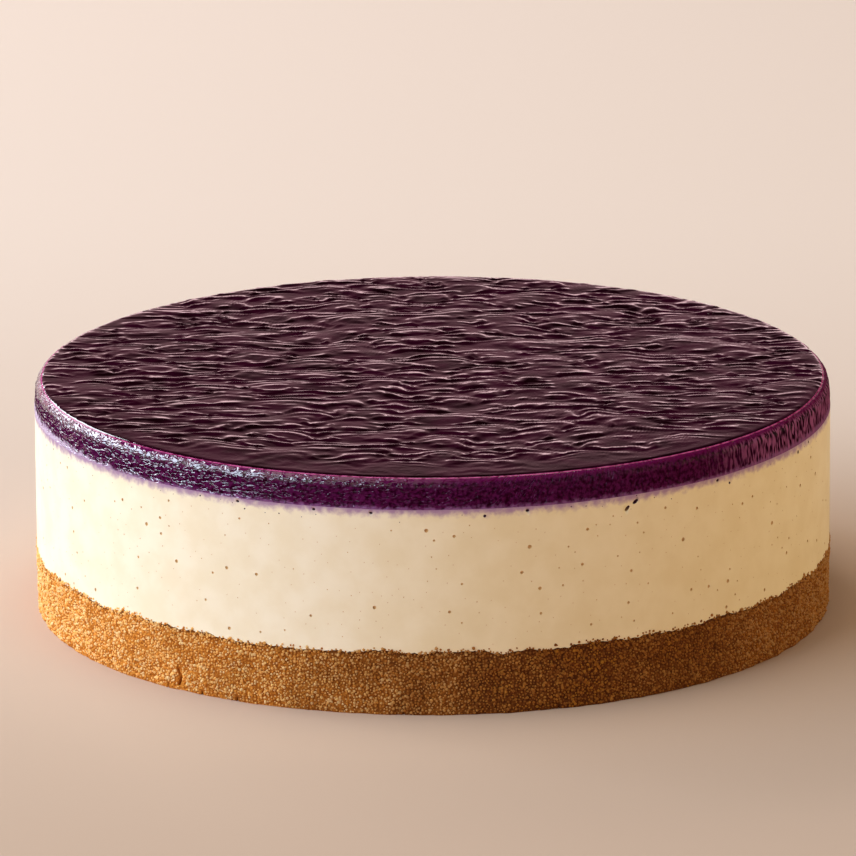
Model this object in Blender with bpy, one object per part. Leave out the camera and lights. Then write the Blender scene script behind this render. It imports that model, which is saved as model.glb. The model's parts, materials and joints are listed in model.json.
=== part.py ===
# A round baked cheesecake in three layers: a pressed biscuit crumb base, a cream filling and a set
# berry jelly on top. Metres, +Z up. The origin is the middle of the flat face that the cake rests on,
# and -Y is the front, where the crumb base has its small crack.

import math

import bmesh
import bpy
from mathutils import Matrix, Vector, noise

MM = 0.001

# The tin that shaped the cake, and the heights of its layers at the side
TIN_RADIUS = 114.5 * MM
BASE_TOP = 17.9 * MM
FILLING_TOP = 58.7 * MM
CAKE_TOP = 67.4 * MM
SEAM_GAP = 0.3 * MM

# Each uneven surface is a coarse noise with a finer one on it, smaller by this many times
FINER = 2.2
MEAN_NOISE = 0.23  # mean distance of Blender's noise from zero

# Crumb base
BASE_COLUMNS = 160
BASE_WALL_ROWS = 5
BASE_INSET = 0.2 * MM  # how far its wall lies inside the tin's radius
CRAG_DEPTH = 0.55 * MM
CRAG_SIZE = 6.0 * MM
FOOT_TUCK = 0.1 * MM  # how far its foot is drawn in
CRUMB_LINE_RISE = 0.85 * MM  # how far the line of crumbs under the filling strays up or down
CRUMB_LINE_SIZE = 9.0 * MM
SEAM_RING_WIDTH = 7.0 * MM  # inside this ring, the faces between layers are flat

# Crack low in the front of the crumb base, as an angle from the front towards +X
CRACK_ANGLE = math.radians(-38.45)
CRACK_FOOT = 1.2 * MM
CRACK_HEIGHT = 5.0 * MM
CRACK_WIDTH = 1.1 * MM
CRACK_DEPTH = 2.4 * MM
CRACK_JOG = 0.8 * MM  # sideways step of its bend

# Filling
FILLING_WALL_ROWS = 3
FILLING_WAVER = 0.2 * MM
FILLING_WAVER_SIZE = 35.0 * MM

# Jelly
JELLY_CELLS_ACROSS = 44  # squares along the sides of the grid that becomes its top. The ripples
JELLY_CELLS_ALONG = 74  # lie across it, so it is finer from front to back
JELLY_EDGE_RADIUS = 3.2 * MM
JELLY_EDGE_STEPS = 4
JELLY_WALL_ROWS = 2
JELLY_TOP_INSET = 0.4 * MM  # its side leans in by this much at the top
JELLY_WAVER = 0.15 * MM
JELLY_WAVER_SIZE = 12.0 * MM

# Ripples in the jelly's skin, from left to right across it. Low domes bend them into arcs
RIPPLE_LENGTH = 11.0 * MM  # from one crest to the next
RIPPLE_HEIGHT = 0.3 * MM
RIPPLE_FLAT = 0.14  # shares of that length: level up to here,
RIPPLE_PEAK = 0.63  # then a gentle rise to the crest, and a steep fall towards the front
DOME_ACROSS = 16.0 * MM
DOME_ALONG = 11.5 * MM
DOME_BEND = 12.5 * MM  # how far a dome pushes the ripples back
DOME_HEIGHT = 0.4 * MM
STROKE_ACROSS = 10.0 * MM  # the size of the stretches in which a ripple comes and goes
STROKE_ALONG = 5.0 * MM
STROKES = (-0.4, 0.1)  # the noise below which there is none, and above which it is whole
SKIN_SLICE = 1.3  # the slice of the noise that the skin is made from
CALM_EDGE = 5.0 * MM  # the skin grows calm towards the edge
CALM_FRONT = 20.0 * MM  # and over a strip along the front, this wide in the middle
CALM_SHARE = 0.2  # share of its height that is left there


def smooth_step(low, high, value):
    t = min(1.0, max(0.0, (value - low) / (high - low)))
    return t * t * (3 - 2 * t)


def wander(angle, size, radius=TIN_RADIUS, layer=0.0):
    # A smooth value from about -1 to 1 that varies round the cake and closes on itself
    ring = Vector((math.cos(angle), math.sin(angle), 0)) * (radius / size)
    return noise.noise(ring + Vector((0, 0, layer)))


def crumb_line(angle):
    # Height of the seam between crumbs and filling, at the side
    coarse = wander(angle, CRUMB_LINE_SIZE, layer=3.7)
    fine = wander(angle, CRUMB_LINE_SIZE / FINER, layer=8.1)
    return BASE_TOP + CRUMB_LINE_RISE * (coarse + fine / 2)


def crag(angle, height):
    # How far the crumb wall stands out or falls back at a place on it
    around = TIN_RADIUS / CRAG_SIZE
    place = Vector((math.cos(angle) * around, math.sin(angle) * around, height / CRAG_SIZE))
    return CRAG_DEPTH * (noise.noise(place) + noise.noise(place * FINER) / 2)


def dome(x, y):
    # 0 in the creases between the domes, about 0.5 on the highest
    return abs(noise.noise(Vector((x / DOME_ACROSS, y / DOME_ALONG, SKIN_SLICE))))


def ripple_shape(phase):
    share = phase % 1.0
    if share < RIPPLE_PEAK:
        return smooth_step(RIPPLE_FLAT, RIPPLE_PEAK, share)
    return 1 - smooth_step(RIPPLE_PEAK, 1.0, share)


def calm(x, y):
    # Share of the skin's height that is left near its edge and in the strip along its front
    edge = smooth_step(0.0, CALM_EDGE, TIN_RADIUS - math.hypot(x, y) - JELLY_EDGE_RADIUS)
    half_chord = math.sqrt(max(0.0, TIN_RADIUS**2 - x * x))
    strip = CALM_FRONT * half_chord / TIN_RADIUS
    front = smooth_step(strip / 2, strip + MM, y + half_chord)
    return edge * (CALM_SHARE + (1 - CALM_SHARE) * front)


def ripple(x, y):
    # Height of the skin above its mean level
    high = dome(x, y)
    stroke = noise.noise(Vector((x / STROKE_ACROSS, y / STROKE_ALONG, SKIN_SLICE + 6)))
    share = smooth_step(*STROKES, stroke)
    crests = RIPPLE_HEIGHT * share * ripple_shape((DOME_BEND * high - y) / RIPPLE_LENGTH)
    return calm(x, y) * (crests + DOME_HEIGHT * (high - MEAN_NOISE))


def clear_scene():
    for old in list(bpy.data.objects):
        bpy.data.objects.remove(old, do_unlink=True)


def make_collection(name):
    made = bpy.data.collections.new(name)
    bpy.context.scene.collection.children.link(made)
    return made


def make_material(name, colour, roughness, coat=0.0):
    made = bpy.data.materials.new(name)
    made.use_nodes = True
    shader = made.node_tree.nodes["Principled BSDF"]
    shader.inputs["Base Color"].default_value = (*colour, 1.0)
    shader.inputs["Roughness"].default_value = roughness
    shader.inputs["Metallic"].default_value = 0.0
    shader.inputs["Coat Weight"].default_value = coat
    return made


def finish_object(name, bm, collection, material):
    # The shorter diagonal splits a seam's squares alike in the layers above and below it
    bmesh.ops.triangulate(bm, faces=bm.faces, quad_method="SHORT_EDGE")
    bmesh.ops.recalc_face_normals(bm, faces=bm.faces)
    mesh = bpy.data.meshes.new(name)
    bm.to_mesh(mesh)
    bm.free()
    mesh.materials.append(material)
    mesh.shade_smooth()
    mesh.set_sharp_from_angle(angle=math.radians(40))
    made = bpy.data.objects.new(name, mesh)
    collection.objects.link(made)
    return made


def add_ring(bm, edges, place):
    # Extrudes a closed loop of edges and puts each new vertex where place(angle) says: radius, height
    made = bmesh.ops.extrude_edge_only(bm, edges=edges)["geom"]
    for vertex in [item for item in made if isinstance(item, bmesh.types.BMVert)]:
        angle = math.atan2(vertex.co.y, vertex.co.x)
        radius, height = place(angle)
        vertex.co = Vector((radius * math.cos(angle), radius * math.sin(angle), height))
    return [item for item in made if isinstance(item, bmesh.types.BMEdge)]


def turned_layer(columns, rings):
    # A closed layer from rings of (radius, height), the first and the last of them filled flat
    bm = bmesh.new()
    bmesh.ops.create_circle(bm, cap_ends=True, segments=columns, radius=TIN_RADIUS)
    for vertex in bm.verts:
        angle = math.atan2(vertex.co.y, vertex.co.x)
        radius, height = rings[0](angle)
        vertex.co = Vector((radius * math.cos(angle), radius * math.sin(angle), height))
    edges = list(bm.edges)
    for place in rings[1:]:
        edges = add_ring(bm, edges, place)
    bmesh.ops.contextual_create(bm, geom=edges)
    return bm


def flat_ring(height):
    return lambda angle: (TIN_RADIUS - SEAM_RING_WIDTH, height)


def base_wall_ring(share):
    # A ring of the crumb wall, from the foot at share 0 to the crumb line at share 1
    def place(angle):
        height = share * crumb_line(angle)
        tuck = FOOT_TUCK * (1 - share) ** 2
        return TIN_RADIUS - BASE_INSET + crag(angle, height) - tuck, height

    return place


def crack_cutter(collection):
    # A thin bent wedge through the wall, in three stretches
    bends = ((0.0, 0.0), (CRACK_JOG, 0.45), (0.0, 1.0))
    bm = bmesh.new()
    outline = []
    for side in (-0.5, 0.5):
        stretch = [
            (across + side * CRACK_WIDTH * (1 - 0.5 * rise), CRACK_FOOT + rise * CRACK_HEIGHT)
            for across, rise in bends
        ]
        outline += stretch if side < 0 else stretch[::-1]
    inner = TIN_RADIUS - BASE_INSET - CRACK_DEPTH
    face = bm.faces.new([bm.verts.new((across, -inner, height)) for across, height in outline])
    made = bmesh.ops.extrude_face_region(bm, geom=[face])["geom"]
    moved = [item for item in made if isinstance(item, bmesh.types.BMVert)]
    bmesh.ops.translate(bm, verts=moved, vec=(0, -4 * CRACK_DEPTH, 0))
    bmesh.ops.rotate(bm, verts=bm.verts, matrix=Matrix.Rotation(CRACK_ANGLE, 3, "Z"))
    bmesh.ops.recalc_face_normals(bm, faces=bm.faces)
    mesh = bpy.data.meshes.new("crack_cutter")
    bm.to_mesh(mesh)
    bm.free()
    cutter = bpy.data.objects.new("crack_cutter", mesh)
    cutter.hide_render = True
    cutter.display_type = "WIRE"
    collection.objects.link(cutter)
    return cutter


def build_base(collection, cutters):
    # The first and last rings close the flat foot and the flat middle of its top
    rings = [base_wall_ring(row / BASE_WALL_ROWS) for row in range(BASE_WALL_ROWS + 1)]
    bm = turned_layer(BASE_COLUMNS, rings + [flat_ring(BASE_TOP)])
    material = make_material("biscuit_crumb", (0.42, 0.19, 0.055), 0.85)
    base = finish_object("crumb_base", bm, collection, material)
    cut = base.modifiers.new("crack", "BOOLEAN")
    cut.operation = "DIFFERENCE"
    cut.object = crack_cutter(cutters)
    return base


def build_filling(collection):
    def seam(angle):
        radius, height = base_wall_ring(1.0)(angle)
        return radius, height + SEAM_GAP

    def wall_ring(share):
        def place(angle):
            low = crumb_line(angle) + SEAM_GAP
            height = low + share * (FILLING_TOP - low)
            return TIN_RADIUS + FILLING_WAVER * wander(angle, FILLING_WAVER_SIZE, layer=share), height

        return place

    walls = [wall_ring(row / FILLING_WALL_ROWS) for row in range(1, FILLING_WALL_ROWS + 1)]
    bm = turned_layer(BASE_COLUMNS, [flat_ring(BASE_TOP + SEAM_GAP), seam, wall_ring(0.03)] + walls)
    material = make_material("cream_filling", (0.83, 0.68, 0.47), 0.5)
    return finish_object("cream_filling", bm, collection, material)


def disc_grid(across, along, radius):
    # A square grid laid onto a disc, so that its squares stay nearly the same size all over
    bm = bmesh.new()
    bmesh.ops.create_grid(bm, x_segments=across, y_segments=along, size=1.0)
    for vertex in bm.verts:
        u, v = vertex.co.x, vertex.co.y
        wide = abs(u) >= abs(v)
        reach, turn = (u, v) if wide else (v, u)
        if reach:
            angle = math.pi / 4 * turn / reach
            near, far = reach * math.sin(angle), reach * math.cos(angle)
            u, v = (far, near) if wide else (near, far)
        vertex.co = Vector((u * radius, v * radius, 0))
    return bm


def build_jelly(collection):
    top_radius = TIN_RADIUS - JELLY_TOP_INSET - JELLY_EDGE_RADIUS
    low = FILLING_TOP + SEAM_GAP
    corner = CAKE_TOP - JELLY_EDGE_RADIUS
    bm = disc_grid(JELLY_CELLS_ACROSS, JELLY_CELLS_ALONG, top_radius)
    for vertex in bm.verts:
        vertex.co.z = CAKE_TOP + ripple(vertex.co.x, vertex.co.y)

    def waver(angle):
        return JELLY_WAVER * wander(angle, JELLY_WAVER_SIZE, layer=6.4)

    def edge_ring(step):
        turn = math.pi / 2 * step / JELLY_EDGE_STEPS
        radius = top_radius + JELLY_EDGE_RADIUS * math.sin(turn)
        return lambda angle: (radius + waver(angle), corner + JELLY_EDGE_RADIUS * math.cos(turn))

    def wall_ring(row):
        share = row / JELLY_WALL_ROWS
        radius = TIN_RADIUS - JELLY_TOP_INSET * (1 - share)
        return lambda angle: (radius + waver(angle) * (1 - share), corner + share * (low - corner))

    edges = [edge for edge in bm.edges if edge.is_boundary]
    for step in range(1, JELLY_EDGE_STEPS + 1):
        edges = add_ring(bm, edges, edge_ring(step))
    for row in range(1, JELLY_WALL_ROWS + 1):
        edges = add_ring(bm, edges, wall_ring(row))
    bmesh.ops.contextual_create(bm, geom=edges)
    material = make_material("berry_jelly", (0.085, 0.008, 0.038), 0.18, coat=0.6)
    return finish_object("berry_jelly", bm, collection, material)


def main():
    clear_scene()
    cake = make_collection("cheesecake")
    cutters = make_collection("cutters")
    build_base(cake, cutters)
    build_filling(cake)
    build_jelly(cake)


main()
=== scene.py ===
import json
import math

import bmesh
import bpy
from mathutils import Matrix, Vector, noise

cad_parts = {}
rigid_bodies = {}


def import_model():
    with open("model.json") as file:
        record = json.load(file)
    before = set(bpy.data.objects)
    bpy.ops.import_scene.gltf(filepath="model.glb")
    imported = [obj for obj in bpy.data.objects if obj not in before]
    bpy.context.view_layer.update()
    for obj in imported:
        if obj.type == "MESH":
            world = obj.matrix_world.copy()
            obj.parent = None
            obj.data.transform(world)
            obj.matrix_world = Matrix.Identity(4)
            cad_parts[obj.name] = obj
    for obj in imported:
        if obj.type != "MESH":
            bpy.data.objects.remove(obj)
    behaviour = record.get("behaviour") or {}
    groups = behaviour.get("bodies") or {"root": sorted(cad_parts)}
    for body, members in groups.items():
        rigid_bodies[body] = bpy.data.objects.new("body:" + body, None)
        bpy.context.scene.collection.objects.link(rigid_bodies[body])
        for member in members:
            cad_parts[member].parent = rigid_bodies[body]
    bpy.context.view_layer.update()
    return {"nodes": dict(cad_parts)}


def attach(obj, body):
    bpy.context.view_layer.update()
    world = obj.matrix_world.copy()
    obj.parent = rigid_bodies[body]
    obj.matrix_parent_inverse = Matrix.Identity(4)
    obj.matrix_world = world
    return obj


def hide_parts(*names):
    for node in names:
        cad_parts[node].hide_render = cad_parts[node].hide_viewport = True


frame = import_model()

mm = 0.001
finer = 2.2  # every uneven surface is a coarse noise with a finer one on it, this many times smaller

# What the whole cake shares. The heights are those of the layers at the side
cake = {
    "radius": 114.5 * mm,
    "baseTop": 17.9 * mm,
    "fillingTop": 58.7 * mm,
    "top": 67.4 * mm,
    "overlap": 0.05 * mm,  # dressed layers reach this far into each other, so no gap shows
}

print("frame loaded:", ", ".join(sorted(frame["nodes"])))


# Small helpers for node trees

def findInput(node, name):
    if isinstance(name, int):
        return node.inputs[name]
    for socket in node.inputs:
        if socket.enabled and name in (socket.name, socket.identifier):
            return socket
    raise KeyError(f"{node.bl_idname} has no input {name}")


def addNode(tree, kind, feeds=None, **settings):
    # feeds gives each input a value, or the output socket that is wired to it
    node = tree.nodes.new(kind)
    for name, value in settings.items():
        setattr(node, name, value)
    for name, value in (feeds or {}).items():
        socket = findInput(node, name)
        if isinstance(value, bpy.types.NodeSocket):
            tree.links.new(value, socket)
        else:
            socket.default_value = value
    return node


def calc(tree, operation, a, b=0.0):
    return addNode(tree, "ShaderNodeMath", {0: a, 1: b}, operation=operation).outputs[0]


def plus(tree, a, b):
    return calc(tree, "ADD", a, b)


def minus(tree, a, b):
    return calc(tree, "SUBTRACT", a, b)


def times(tree, a, b):
    return calc(tree, "MULTIPLY", a, b)


def axis(tree, vector, letter):
    return addNode(tree, "ShaderNodeSeparateXYZ", {"Vector": vector}).outputs[letter]


def ramp(tree, value, low, high):
    # 0 up to low, 1 from high on, and smooth between them; low may be the greater of the two
    node = addNode(tree, "ShaderNodeMapRange", {"Value": value, "From Min": low, "From Max": high},
                   interpolation_type="SMOOTHSTEP")
    return node.outputs["Result"]


def mixColour(tree, share, a, b):
    node = addNode(tree, "ShaderNodeMix", {"Factor_Float": share, "A_Color": a, "B_Color": b},
                   data_type="RGBA")
    return node.outputs[2]  # the colour; the others are for numbers, vectors and turns


def atLeast(tree, low, share):
    # The share with its lower end raised: low where it was 0, and still 1 where it was 1
    return plus(tree, low, times(tree, share, 1 - low))


def rgb(hexCode):
    # sRGB hex to the linear colour that Blender's sockets hold
    parts = [int(hexCode[i:i + 2], 16) / 255 for i in (0, 2, 4)]
    linear = [p / 12.92 if p <= 0.04045 else ((p + 0.055) / 1.055) ** 2.4 for p in parts]
    return (*linear, 1.0)


def shades(hexCodes):
    return [rgb(code) for code in hexCodes]


# Camera

shot = {
    "distance": 2.0,      # metres, from a point in the middle of the cake
    "middle": 35 * mm,
    "above": 15.82,       # degrees above the horizon
    "down": 15.396,       # degrees that the lens points down
    "turn": 0.0385,       # degrees to the left
    "roll": -0.34,        # degrees: the right side sits a little higher
    "lens": 290.98,
}


def placeCamera():
    up = math.radians(shot["above"])
    place = Vector((0, -shot["distance"] * math.cos(up), shot["middle"] + shot["distance"] * math.sin(up)))
    turn = Matrix.Rotation(math.radians(shot["turn"]), 4, "Z")
    pitch = Matrix.Rotation(math.radians(90 - shot["down"]), 4, "X")
    roll = Matrix.Rotation(math.radians(shot["roll"]), 4, "Z")
    data = bpy.data.cameras.new("camera")
    data.lens = shot["lens"]
    data.sensor_width = 36
    data.clip_start = 0.1
    data.clip_end = 50
    camera = bpy.data.objects.new("camera", data)
    camera.matrix_world = Matrix.Translation(place) @ turn @ pitch @ roll
    bpy.context.scene.collection.objects.link(camera)
    bpy.context.scene.camera = camera


# Light and floor

studio = {
    # name: degrees round from the front, degrees above the horizon, width and height, watts, colour
    "lights": {
        "keyLight": (-80, 35, (5.0, 1.1), 138, (0.78, 0.92, 1.08)),
        "sideLight": (-140, 27, (2.2, 1.0), 45, (0.92, 0.94, 1.0)),
        "fillLight": (84, 14, (2.6, 1.2), 23, (1.0, 0.82, 0.28)),
        "topLight": (0, 89, (3.2, 3.2), 34, (1.0, 0.93, 0.80)),
    },
    "lightDistance": 3.0,
    # The room from the horizon upwards: sine of the height, colour
    "room": ((0.07, (1.75, 1.15, 1.20)), (0.19, (0.35, 0.175, 0.20)), (0.35, (0.09, 0.034, 0.046)),
             (0.48, (0.004, 0.001, 0.002))),
    "floorSize": 14.0,
    "floorBack": "e6d0bf",
    "floorFrontShaded": "c6aa94",
    "floorShadeFade": (-0.30, 0.50),  # metres along Y between those two: the darker front is painted shade
}


def softLight(name, azimuth, height, size, watts, colour):
    a, h = math.radians(azimuth), math.radians(height)
    place = Vector((math.sin(a) * math.cos(h), -math.cos(a) * math.cos(h), math.sin(h)))
    data = bpy.data.lights.new(name, "AREA")
    data.shape = "RECTANGLE"
    data.size, data.size_y = size
    data.energy = watts
    data.color = colour
    light = bpy.data.objects.new(name, data)
    light.location = place * studio["lightDistance"]
    light.rotation_euler = (-place).to_track_quat("-Z", "Y").to_euler()
    light.visible_camera = False
    bpy.context.scene.collection.objects.link(light)


def lightRoom():
    for name, settings in studio["lights"].items():
        softLight(name, *settings)
    world = bpy.data.worlds.new("room")
    world.use_nodes = True
    bpy.context.scene.world = world
    tree = world.node_tree
    tree.nodes.clear()
    where = addNode(tree, "ShaderNodeTexCoord")
    height = axis(tree, where.outputs["Generated"], "Z")
    low, colour = studio["room"][0]
    colour = (*colour, 1)
    for high, nextColour in studio["room"][1:]:
        colour = mixColour(tree, ramp(tree, height, low, high), colour, (*nextColour, 1))
        low = high
    glow = addNode(tree, "ShaderNodeBackground", {"Color": colour})
    addNode(tree, "ShaderNodeOutputWorld", {"Surface": glow.outputs[0]})


def layFloor():
    bm = bmesh.new()
    bmesh.ops.create_grid(bm, x_segments=4, y_segments=4, size=studio["floorSize"] / 2)
    mesh = bpy.data.meshes.new("floor")
    bm.to_mesh(mesh)
    bm.free()
    floor = bpy.data.objects.new("floor", mesh)
    bpy.context.scene.collection.objects.link(floor)
    made = bpy.data.materials.new("paleFloor")
    made.use_nodes = True
    tree = made.node_tree
    shader = tree.nodes["Principled BSDF"]
    shader.inputs["Roughness"].default_value = 0.9
    shader.inputs["Specular IOR Level"].default_value = 0.0
    where = addNode(tree, "ShaderNodeTexCoord")
    # Darker towards the front: painted shade
    back = ramp(tree, axis(tree, where.outputs["Object"], "Y"), *studio["floorShadeFade"])
    shade = mixColour(tree, back, rgb(studio["floorFrontShaded"]), rgb(studio["floorBack"]))
    tree.links.new(shade, shader.inputs["Base Color"])
    mesh.materials.append(made)


placeCamera()
lightRoom()
layFloor()
bpy.context.scene.view_settings.view_transform = "Standard"
print("camera, lights and floor placed")


# Shader groups that several finishes use

def newGroup(name, inputs, outputs):
    # inputs: name, socket type and default value; outputs: name and socket type
    tree = bpy.data.node_groups.new(name, "ShaderNodeTree")
    for label, kind, value in inputs:
        socket = tree.interface.new_socket(label, in_out="INPUT", socket_type=kind)
        socket.default_value = value
    for label, kind in outputs:
        tree.interface.new_socket(label, in_out="OUTPUT", socket_type=kind)
    return tree, tree.nodes.new("NodeGroupInput"), tree.nodes.new("NodeGroupOutput")


def makeMottleGroup():
    # Clouds of two colours, of a size given in millimetres
    tree, given, out = newGroup("mottle", [
        ("Vector", "NodeSocketVector", (0, 0, 0)),
        ("Size", "NodeSocketFloat", 5.0),
        ("Detail", "NodeSocketFloat", 3.0),
        ("Low", "NodeSocketFloat", 0.35),
        ("High", "NodeSocketFloat", 0.65),
        ("Colour A", "NodeSocketColor", (0.5, 0.5, 0.5, 1)),
        ("Colour B", "NodeSocketColor", (0.8, 0.8, 0.8, 1)),
    ], [("Colour", "NodeSocketColor"), ("Mask", "NodeSocketFloat")])
    scale = calc(tree, "DIVIDE", 1.0, given.outputs["Size"])
    cloud = addNode(tree, "ShaderNodeTexNoise", {"Vector": given.outputs["Vector"], "Scale": scale,
                                                 "Detail": given.outputs["Detail"]})
    mask = ramp(tree, cloud.outputs["Fac"], given.outputs["Low"], given.outputs["High"])
    colour = mixColour(tree, mask, given.outputs["Colour A"], given.outputs["Colour B"])
    tree.links.new(colour, out.inputs["Colour"])
    tree.links.new(mask, out.inputs["Mask"])
    return tree


def makeWrinkleGroup():
    # Height of fine creases, for a Bump node
    tree, given, out = newGroup("wrinkle", [
        ("Vector", "NodeSocketVector", (0, 0, 0)),
        ("Size", "NodeSocketFloat", 2.0),
        ("Detail", "NodeSocketFloat", 2.0),
        ("Sharpness", "NodeSocketFloat", 0.6),
    ], [("Height", "NodeSocketFloat")])
    scale = calc(tree, "DIVIDE", 1.0, given.outputs["Size"])
    fold = addNode(tree, "ShaderNodeTexNoise", {"Vector": given.outputs["Vector"], "Scale": scale,
                                                "Detail": given.outputs["Detail"], "Distortion": 0.4})
    away = calc(tree, "ABSOLUTE", minus(tree, fold.outputs["Fac"], 0.5))
    crest = minus(tree, 1.0, times(tree, away, 4.0))
    sharp = times(tree, crest, given.outputs["Sharpness"])
    softness = minus(tree, 1.0, given.outputs["Sharpness"])
    soft = times(tree, fold.outputs["Fac"], softness)
    tree.links.new(plus(tree, sharp, soft), out.inputs["Height"])
    return tree


mottle = makeMottleGroup()
wrinkle = makeWrinkleGroup()


def useGroup(tree, group, **feeds):
    # An underscore in a feed's name stands for the space in the input's
    named = {name.replace("_", " "): value for name, value in feeds.items()}
    return addNode(tree, "ShaderNodeGroup", named, node_tree=group)


def clouds(tree, place, colours, **settings):
    dark, light = shades(colours)
    return useGroup(tree, mottle, Vector=place, Colour_A=dark, Colour_B=light, **settings)


def newFinish(name, roughness, specular):
    made = bpy.data.materials.new(name)
    made.use_nodes = True
    shader = made.node_tree.nodes["Principled BSDF"]
    shader.inputs["Roughness"].default_value = roughness
    shader.inputs["Specular IOR Level"].default_value = specular
    return made, made.node_tree, shader


def millimetres(tree):
    where = addNode(tree, "ShaderNodeTexCoord")
    return addNode(tree, "ShaderNodeVectorMath", {0: where.outputs["Object"], "Scale": 1 / mm},
                   operation="SCALE").outputs[0]


def fromMiddle(tree, place):
    flat = addNode(tree, "ShaderNodeVectorMath", {0: place, 1: (1, 1, 0)}, operation="MULTIPLY")
    distance = addNode(tree, "ShaderNodeVectorMath", {0: flat.outputs[0]}, operation="LENGTH")
    return distance.outputs["Value"]


def stretched(tree, place, scale):
    return addNode(tree, "ShaderNodeMapping", {"Vector": place, "Scale": scale}).outputs[0]


def attribute(tree, name):
    return addNode(tree, "ShaderNodeAttribute", attribute_name=name,
                   attribute_type="GEOMETRY").outputs["Fac"]


def bump(tree, shader, height, strength, distance):
    node = addNode(tree, "ShaderNodeBump", {"Height": height, "Strength": strength, "Distance": distance})
    tree.links.new(node.outputs["Normal"], shader.inputs["Normal"])
    return node.outputs["Normal"]


# Shapes shared by the layers

def smoothStep(low, high, value):
    t = min(1.0, max(0.0, (value - low) / (high - low)))
    return t * t * (3 - 2 * t)


def wander(angle, size, layer=0.0):
    # A smooth value from about -1 to 1 that varies round the cake and closes on itself
    around = cake["radius"] / size
    return noise.noise(Vector((math.cos(angle) * around, math.sin(angle) * around, layer)))


def wallNoise(angle, height, acrossSize, upSize, layer=0.0):
    # The same on the whole wall, with its own sizes round the cake and up it
    around = cake["radius"] / acrossSize
    place = Vector((math.cos(angle) * around, math.sin(angle) * around, height / upSize + layer))
    return noise.noise(place)


def addRing(bm, ring, place):
    # Joins a closed ring of vertices to a new one, which lies where place(angle) says: radius, height
    made = []
    for vertex in ring:
        angle = math.atan2(vertex.co.y, vertex.co.x)
        radius, height = place(angle)
        made.append(bm.verts.new((radius * math.cos(angle), radius * math.sin(angle), height)))
    for side in range(len(ring)):
        bm.faces.new((ring[side - 1], ring[side], made[side], made[side - 1]))
    return made


def turnedLayer(columns, rings):
    # A closed layer from rings of (radius, height), the first and the last of them filled flat
    bm = bmesh.new()
    bmesh.ops.create_circle(bm, cap_ends=True, segments=columns, radius=cake["radius"])
    for vertex in bm.verts:
        angle = math.atan2(vertex.co.y, vertex.co.x)
        radius, height = rings[0](angle)
        vertex.co = Vector((radius * math.cos(angle), radius * math.sin(angle), height))
    ring = list(bm.verts)
    for place in rings[1:]:
        ring = addRing(bm, ring, place)
    bm.faces.new(ring)
    return bm


def meshObject(name, bm, material=None, smoothAngle=40):
    bmesh.ops.recalc_face_normals(bm, faces=bm.faces)
    mesh = bpy.data.meshes.new(name)
    bm.to_mesh(mesh)
    bm.free()
    if material:
        mesh.materials.append(material)
    mesh.shade_smooth()
    mesh.set_sharp_from_angle(angle=math.radians(smoothAngle))
    made = bpy.data.objects.new(name, mesh)
    bpy.context.scene.collection.objects.link(made)
    return made


def plainPiece(name, mesh, source=None):
    # Wraps a finished mesh in a new object, and takes away the object that it was made from
    if source:
        bpy.data.objects.remove(source)
    mesh.name = name
    made = bpy.data.objects.new(name, mesh)
    bpy.context.scene.collection.objects.link(made)
    return made


def newTree(name, inputs):
    tree = bpy.data.node_groups.new(name, "GeometryNodeTree")
    for label, kind in [("Geometry", "NodeSocketGeometry")] + inputs:
        tree.interface.new_socket(label, in_out="INPUT", socket_type=kind)
    tree.interface.new_socket("Geometry", in_out="OUTPUT", socket_type="NodeSocketGeometry")
    return tree, tree.nodes.new("NodeGroupInput").outputs, tree.nodes.new("NodeGroupOutput")


def runTree(source, tree, values):
    # Runs the tree on an object and returns what it makes as a plain mesh
    modifier = source.modifiers.new(tree.name, "NODES")
    modifier.node_group = tree
    for item in tree.interface.items_tree:
        if item.item_type == "SOCKET" and item.in_out == "INPUT" and item.name in values:
            modifier[item.identifier] = values[item.name]
    depsgraph = bpy.context.evaluated_depsgraph_get()
    mesh = bpy.data.meshes.new_from_object(source.evaluated_get(depsgraph), depsgraph=depsgraph)
    source.modifiers.remove(modifier)
    return mesh


def randomShare(tree, seed, offset):
    # A random value from 0 to 1. Each use has its own offset, and so its own draws
    seeded = {"Min": 0.0, "Max": 1.0, "Seed": plus(tree, seed, float(offset))}
    return addNode(tree, "FunctionNodeRandomValue", seeded, data_type="FLOAT").outputs["Value"]


def randomTurn(tree, seed):
    everyWay = {"Min": (0, 0, 0), "Max": (math.tau,) * 3, "Seed": seed}
    return addNode(tree, "FunctionNodeRandomValue", everyWay, data_type="FLOAT_VECTOR").outputs["Value"]


def ofCake(piece, node=None):
    # A piece that dresses a node takes its place; the others only add to what is there
    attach(piece, "root")
    if node:
        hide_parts(node)
    print(f"{piece.name}: {len(piece.data.polygons)} faces")


# Berry jelly

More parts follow.
